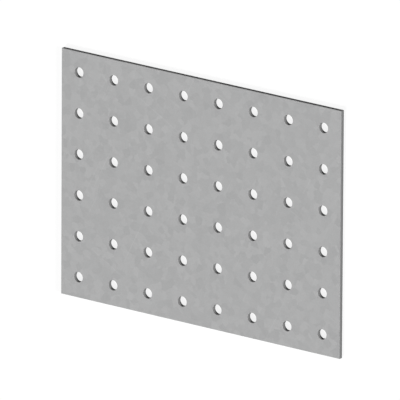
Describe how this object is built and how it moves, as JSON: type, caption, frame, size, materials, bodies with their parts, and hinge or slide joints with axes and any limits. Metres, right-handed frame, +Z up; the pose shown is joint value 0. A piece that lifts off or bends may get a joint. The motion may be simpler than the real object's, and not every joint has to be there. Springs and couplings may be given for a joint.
{
  "type": "perforated connector plate",
  "caption": "Flat rectangular galvanised steel plate with square sheared corners and a regular square grid of nail holes, nailed over a timber joint to tie it together.",
  "frame": {"origin": "on the floor under the centre of the plate, which lies flat with its face up", "axes": "+X along the plate's length, +Y across its width, +Z up out of the face that the holes were punched from"},
  "size_m": [0.16, 0.12, 0.002],
  "materials": {
    "galvanised_steel": "satin"
  },
  "bodies": {
    "root": {"connector_plate": "galvanised_steel"}
  },
  "joints": []
}
